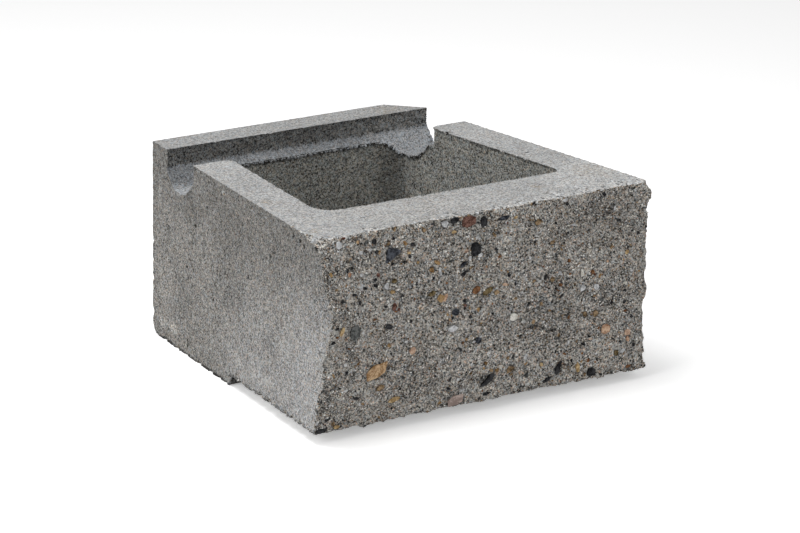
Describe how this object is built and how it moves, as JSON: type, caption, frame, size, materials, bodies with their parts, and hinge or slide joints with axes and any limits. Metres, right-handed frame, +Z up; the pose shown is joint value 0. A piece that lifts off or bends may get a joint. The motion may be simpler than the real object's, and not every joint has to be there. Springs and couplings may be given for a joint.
{
  "type": "planter retaining block",
  "caption": "Cast concrete retaining wall block with a split front, an open planting core, a rear rail with a cross channel, and a lug under its rear half.",
  "frame": {"origin": "middle of the bottom of the bounding box, on the lug's underside", "axes": "+Z up, -Y towards the split front, +Y towards the rear rail, +X to the right when facing the front from outside"},
  "size_m": [0.4064, 0.4172, 0.2115],
  "materials": {
    "concrete": "matt, cast smooth on the sides and broken open on the front"
  },
  "bodies": {
    "root": {"planter_block": "concrete"}
  },
  "joints": []
}
